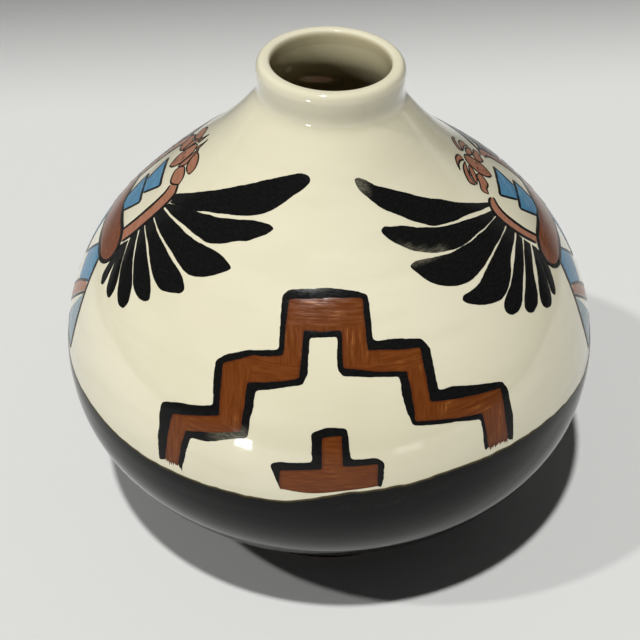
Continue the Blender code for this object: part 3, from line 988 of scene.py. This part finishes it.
def dancer(side, axis, lean, arm_out, arm_in, fans):
    """One dancer. Half of the figure is given, in degrees from its axis, and the
    other half is its mirror image. The axis leans by degrees for each millimetre."""
    towards = 1.0 if side == "left" else -1.0

    def half(points, flip):
        moved = np.array(points, dtype=float)
        moved[:, 0] = axis + lean * (80.0 - moved[:, 1]) + towards * flip * moved[:, 0]
        return moved

    def both(outlines):
        return [half(outline, flip) for outline in outlines for flip in (1.0, -1.0)]

    def lines(paths, width):
        made = []
        for path in paths:
            for flip in (1.0, -1.0):
                made.append(stroke(half(path, flip), width))
        return made

    def whole(edge):
        return closed(half(edge, 1.0), half(edge[::-1], -1.0))

    flesh = [closed(flow(arm_out), flow(arm_in[::-1]))]
    flesh += [leaf(upper, lower) for upper, lower in fans]
    head = flow([(0.0, 84.2), (2.4, 86.4), (3.8, 89.6), (3.8, 93.0), (2.6, 96.0), (0.0, 97.4)])
    enamel(f"{side}_dancer_skin", both(flesh) + [whole(head)], FLESH, lift=0.11, grain=1.5)

    chest = [
        closed(steps([(0.0, 71.3), (3.8, 71.4), (8.8, 80.4), (0.0, 81.2)], 0.4)),
        closed(steps([(0.0, 58.6), (3.2, 58.8), (7.8, 70.2), (0.0, 70.9)], 0.4)),
    ]
    thigh = leaf([(6.8, 46.2), (12.6, 46.4), (14.6, 41.5), (15.4, 37.0)],
                 [(15.4, 37.0), (12.0, 33.5), (8.6, 29.6), (5.2, 33.0), (2.6, 37.5), (6.8, 46.2)])
    enamel(f"{side}_dancer_blue", both(chest + [thigh]), BLUE, lift=0.11, grain=1.5)
    boot = leaf([(16.4, 32.5), (18.1, 24.0), (18.4, 16.0), (17.6, 10.4)],
                [(17.6, 10.4), (12.8, 11.4), (9.6, 15.0), (12.6, 23.0), (16.4, 32.5)])
    enamel(f"{side}_dancer_boots", both([boot]), SLATE, lift=0.11, grain=1.5)
    strap = closed(flow([(16.6, 34.8), (12.4, 28.4), (8.2, 21.6), (4.4, 15.2)]),
                   flow([(1.6, 17.4), (5.6, 24.0), (9.6, 30.4), (14.8, 36.8)]))
    enamel(f"{side}_dancer_straps", both([strap]), FLESH, lift=0.13, grain=1.5)
    sash = flow([
        (0.0, 46.8), (8.0, 47.2), (14.4, 47.6), (17.6, 50.4), (18.4, 54.0), (17.0, 57.6), (13.4, 59.9),
        (8.0, 60.0), (0.0, 59.0),
    ])
    enamel(f"{side}_dancer_sash", [whole(sash)], BROWN, lift=0.13, grain=1.6)

    drawn = lines([arm_out, arm_in], (1.0, 1.6, 1.2))
    for upper, lower in fans:
        drawn += lines([upper], (0.6, 0.8, 0.4)) + lines([lower], (0.5, 0.7, 0.4))
    chest_tops = [[(0.0, 81.3), (8.8, 80.5)], [(0.0, 71.0), (7.8, 70.3)]]
    chest_sides = [[(8.9, 80.6), (6.2, 75.6), (3.9, 71.5)], [(7.9, 70.4), (5.6, 64.6), (3.1, 59.1)]]
    sash_edge = [
        (0.0, 46.6), (8.0, 46.8), (14.6, 47.3), (18.1, 50.0), (19.1, 54.0), (17.6, 58.0), (13.6, 60.5),
        (8.0, 60.6), (0.0, 59.6),
    ]
    outer_leg = [(13.2, 46.6), (15.4, 40.0), (17.4, 32.6), (18.8, 24.6), (18.9, 16.2), (18.0, 9.8)]
    inner_leg = [(7.0, 46.0), (4.4, 40.6), (1.0, 34.2), (0.0, 32.0)]
    strap_sides = [
        [(17.0, 34.4), (12.6, 27.6), (8.6, 21.0), (4.6, 14.6)],
        [(15.0, 37.4), (9.6, 31.0), (5.4, 24.4), (1.2, 17.6)],
    ]
    sole = [(17.8, 10.0), (13.0, 10.8), (9.2, 14.6)]
    head_edge = [(0.0, 84.0), (2.7, 86.2), (4.2, 89.6), (4.2, 93.2), (2.9, 96.4), (0.0, 97.9)]
    brow = [(0.9, 91.2), (2.0, 91.5), (3.1, 91.0)]
    eye = [(1.1, 90.1), (2.0, 90.3), (2.9, 90.0)]
    nose = [(0.0, 87.9), (0.7, 88.0), (0.9, 88.6)]
    mouth = [(0.0, 86.8), (1.0, 86.9), (1.5, 87.1)]
    for paths, width in (
        (chest_tops, 1.3), (chest_sides, 1.1), ([sash_edge], 1.7), ([outer_leg], (1.7, 1.2)),
        ([inner_leg], (1.2, 0.8)), (strap_sides, 1.0), ([sole], 1.0), ([head_edge], 0.7), ([brow], 0.55),
        ([eye], 0.45), ([nose, mouth], 0.4),
    ):
        drawn += lines(paths, width)
    enamel(f"{side}_dancer_lines", drawn, LINE, lift=0.27, grain=1.5)


dancer(
    "left", LEFT_AXIS, 0.0175,
    arm_out=[(16.6, 88.6), (18.8, 87.6), (20.6, 86.0), (21.3, 82.3), (21.2, 77.0), (20.1, 69.6), (19.0, 63.7),
             (17.7, 59.5)],
    arm_in=[(13.6, 85.2), (15.0, 82.9), (15.5, 78.5), (15.3, 74.2), (14.7, 68.5), (13.8, 63.5), (13.1, 60.0)],
    fans=[
        ([(17.8, 88.6), (12.7, 85.6), (9.4, 86.3), (6.8, 88.0), (7.4, 90.2), (9.3, 92.3)],
         [(9.3, 92.3), (12.9, 92.2), (15.9, 91.1), (17.8, 88.6)]),
        ([(14.9, 93.2), (10.5, 93.5), (7.5, 95.5), (4.6, 98.2)],
         [(4.6, 98.2), (10.4, 99.2), (15.3, 98.0), (17.1, 96.0), (17.1, 94.0), (14.9, 93.2)]),
        ([(5.6, 88.8), (4.9, 91.4), (4.7, 95.4), (3.8, 99.2)],
         [(3.8, 99.2), (6.2, 98.6), (7.0, 95.7), (8.7, 93.0), (7.2, 90.8), (5.6, 88.8)]),
        ([(1.4, 98.2), (2.3, 101.0), (2.2, 103.6)], [(2.2, 103.6), (3.6, 100.6), (3.4, 98.0), (1.4, 98.2)]),
    ],
)
dancer(
    "right", RIGHT_AXIS, 0.03,
    arm_out=[(14.2, 84.4), (16.8, 84.6), (19.4, 82.8), (20.9, 78.8), (20.7, 73.5), (19.2, 66.8),
             (16.8, 60.4)],
    arm_in=[(13.0, 83.2), (15.4, 80.8), (16.6, 77.6), (16.7, 73.2), (15.7, 66.7), (13.5, 60.5)],
    fans=[
        ([(13.4, 85.4), (11.3, 86.7), (7.8, 86.5), (5.0, 89.1), (4.9, 90.9)],
         [(4.9, 90.9), (7.7, 91.9), (10.6, 90.4), (14.4, 88.5), (13.4, 85.4)]),
        ([(13.5, 91.2), (11.5, 93.5), (8.7, 95.3), (4.6, 96.0)],
         [(4.6, 96.0), (4.7, 94.6), (6.6, 92.9), (9.8, 91.6), (13.5, 91.2)]),
        ([(14.3, 91.6), (15.8, 94.3), (13.3, 97.0), (9.4, 98.4), (4.0, 97.8)],
         [(4.0, 97.8), (8.6, 96.4), (12.2, 94.4), (14.3, 91.6)]),
        ([(3.6, 98.2), (6.4, 100.0), (10.4, 100.6), (13.8, 99.4)],
         [(13.8, 99.4), (11.0, 101.6), (7.0, 102.4), (2.6, 100.4), (3.6, 98.2)]),
    ],
)


# ---- stage, lights, camera

def backdrop():
    """A pale table that curves up into a wall far behind the pot."""
    bend_start, bend_radius, top = 1.1, 0.5, 1.6
    section = [(-2.2, 0.0), (-0.6, 0.0), (0.0, 0.0), (bend_start, 0.0)]
    for turn in np.radians(np.linspace(0.0, 90.0, 31))[1:]:
        section.append((bend_start + bend_radius * math.sin(turn), bend_radius * (1.0 - math.cos(turn))))
    section.append((bend_start + bend_radius, top))
    verts = [(x, y, z) for y, z in section for x in (-2.5, 2.5)]
    faces = [(2 * i, 2 * i + 1, 2 * i + 3, 2 * i + 2) for i in range(len(section) - 1)]
    table = object_from("backdrop", verts, faces)
    table.data.shade_smooth()
    pale = bpy.data.materials.new("pale_table")
    pale.use_nodes = True
    shader = pale.node_tree.nodes["Principled BSDF"]
    shader.inputs["Base Color"].default_value = (0.68, 0.68, 0.66, 1.0)
    shader.inputs["Roughness"].default_value = 0.55
    table.data.materials.append(pale)


def lamp(name, light, where, towards):
    """Places a light that shines from where along the given direction."""
    holder = bpy.data.objects.new(name, light)
    holder.location = where
    holder.rotation_euler = Vector(towards).to_track_quat("-Z", "Y").to_euler()
    bpy.context.scene.collection.objects.link(holder)
    return holder


MAIN_FROM = Vector((-0.09, -0.31, 0.95))
SIDE_FROM = Vector((-0.575, -0.265, 0.78))
FLAG_DISTANCE = 4.6
CAMERA_AT = Vector((0.0, -0.4232, 0.4145))
LOOK_AT = Vector((-0.0035, 0.0009, 0.0731))
CAMERA_ROLL = 0.14        # degrees


def sun(name, source, strength):
    """A distant light that shines from a direction."""
    light = bpy.data.lights.new(name, "SUN")
    light.energy = strength
    light.angle = math.radians(2.5)
    return lamp(name, light, source, -source)


def flag(reach, turn):
    """A plane high above that keeps the main light off the far part of the table."""
    corners = [(-2.0, 0.0, 0.0), (2.0, 0.0, 0.0), (2.0, 2.0, 0.0), (-2.0, 2.0, 0.0)]
    plane = object_from("flag", corners, [(0, 1, 2, 3)])
    plane.location = Vector((0.0, reach, 0.0)) + MAIN_FROM * FLAG_DISTANCE
    plane.rotation_euler = (0.0, 0.0, math.radians(turn))
    for ray in ("camera", "diffuse", "glossy", "transmission"):
        setattr(plane, f"visible_{ray}", False)


def low_panel(name, where, size, power):
    """A small bright panel low in front, which only the gloss shows."""
    light = bpy.data.lights.new(name, "AREA")
    light.shape = "RECTANGLE"
    light.size, light.size_y = size
    light.energy = power
    holder = lamp(name, light, where, Vector((0.0, 0.0, 0.1)) - Vector(where))
    holder.visible_diffuse = False


backdrop()
sun("main_light", MAIN_FROM, 2.64)
sun("side_light", SIDE_FROM, 0.92).visible_glossy = False
flag(0.398, 5.5)
low_panel("low_left_panel", (-0.57, -0.94, 0.03), (0.12, 0.12), 0.60)
low_panel("low_right_panel", (0.53, -0.95, 0.03), (0.20, 0.08), 0.06)

world = bpy.data.worlds.new("room")
world.use_nodes = True
room = world.node_tree.nodes["Background"]
room.inputs["Color"].default_value = (0.97, 0.98, 1.0, 1.0)
room.inputs["Strength"].default_value = 0.06
bpy.context.scene.world = world
bpy.context.scene.view_settings.view_transform = "Standard"

camera = bpy.data.cameras.new("camera")
camera.lens = 78.75
camera.sensor_width = 36.0
camera.clip_start = 0.01
holder = bpy.data.objects.new("camera", camera)
holder.location = CAMERA_AT
sight = (LOOK_AT - CAMERA_AT).to_track_quat("-Z", "Y").to_matrix().to_4x4()
holder.rotation_euler = (sight @ Matrix.Rotation(math.radians(CAMERA_ROLL), 4, "Z")).to_euler()
bpy.context.scene.collection.objects.link(holder)
bpy.context.scene.camera = holder
